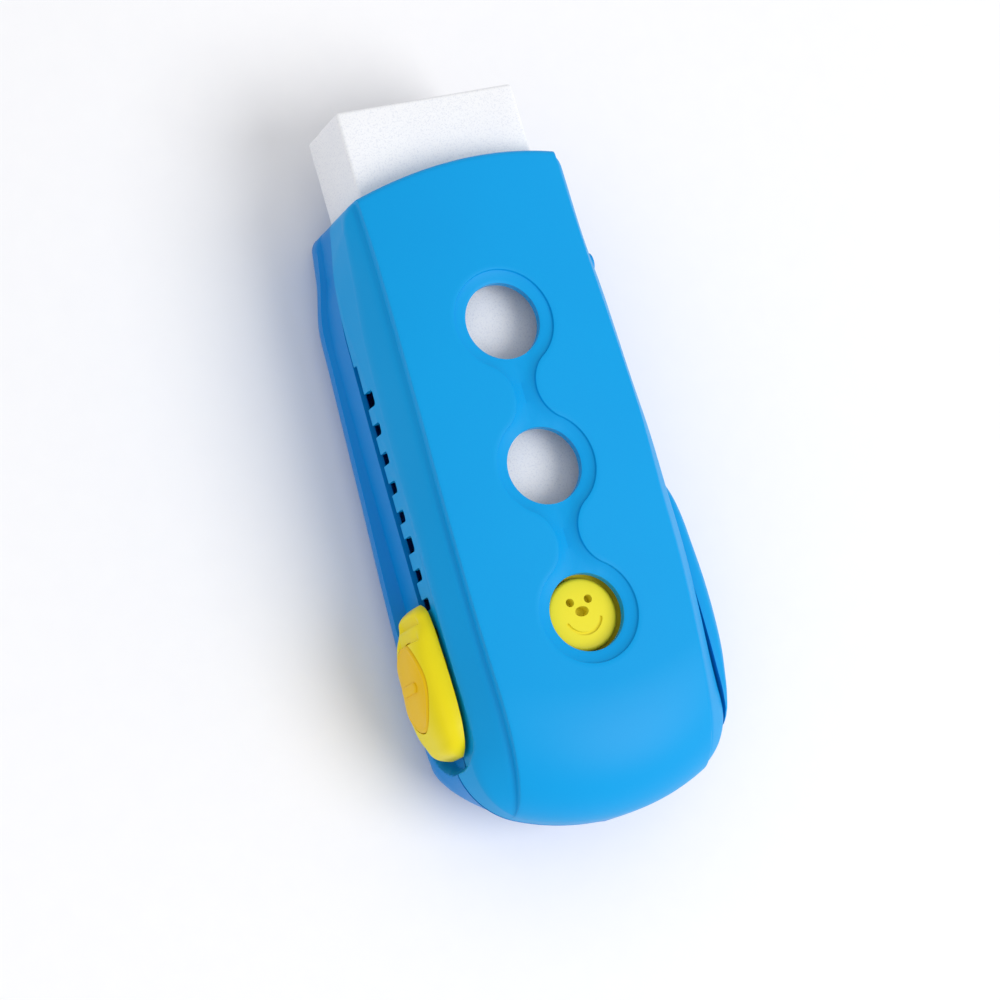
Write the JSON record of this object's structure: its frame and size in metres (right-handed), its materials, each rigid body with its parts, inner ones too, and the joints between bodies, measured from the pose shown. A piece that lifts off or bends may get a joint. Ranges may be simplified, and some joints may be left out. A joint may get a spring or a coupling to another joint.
{
  "type": "sliding pencil eraser",
  "caption": "Hand-held pencil eraser: a white vinyl block slides out of a blue two-part case in clicks, moved by a yellow side slider.",
  "frame": {"origin": "Centre of the case's outline on the plane of the flat rear face, on which the eraser lies on a desk.", "axes": "+Y runs along the case toward the eraser tip, +Z is out of the front face with the windows, and the thumb slider is on -X."},
  "size_m": [0.0396, 0.0868, 0.0208],
  "materials": {
    "front_blue": "satin moulded ABS",
    "rear_blue": "satin moulded ABS",
    "pad_blue": "satin moulded ABS",
    "white_vinyl": "matt vinyl with a fine grain",
    "holder_yellow": "satin moulded ABS",
    "disc_yellow": "satin moulded ABS",
    "slider_yellow": "satin moulded ABS",
    "badge_yellow": "satin moulded ABS",
    "arm_yellow": "smooth acetal"
  },
  "bodies": {
    "case": {"front_shell": "front_blue", "rear_shell": "rear_blue", "grip_pad": "pad_blue"},
    "carriage": {"eraser_holder": "holder_yellow", "face_disc": "disc_yellow", "thumb_slider": "slider_yellow", "slider_badge": "badge_yellow"},
    "refill": {"eraser_block": "white_vinyl"},
    "detent": {"click_arm": "arm_yellow"}
  },
  "joints": [
    {"name": "eraser_slide", "type": "slide", "parent": "case", "child": "carriage", "axis": [0, 1, 0], "range_m": [0, 0.035]},
    {"name": "refill_pull", "type": "slide", "parent": "carriage", "child": "refill", "axis": [0, 1, 0], "range_m": [0, 0.068]},
    {"name": "detent_flex", "type": "hinge", "parent": "carriage", "child": "detent", "pos_m": [-0.01457, -0.0301, 0.01005], "axis": [1, 0, 0], "range_deg": [0, 10], "stiffness_Nm_per_rad": 0.015}
  ]
}
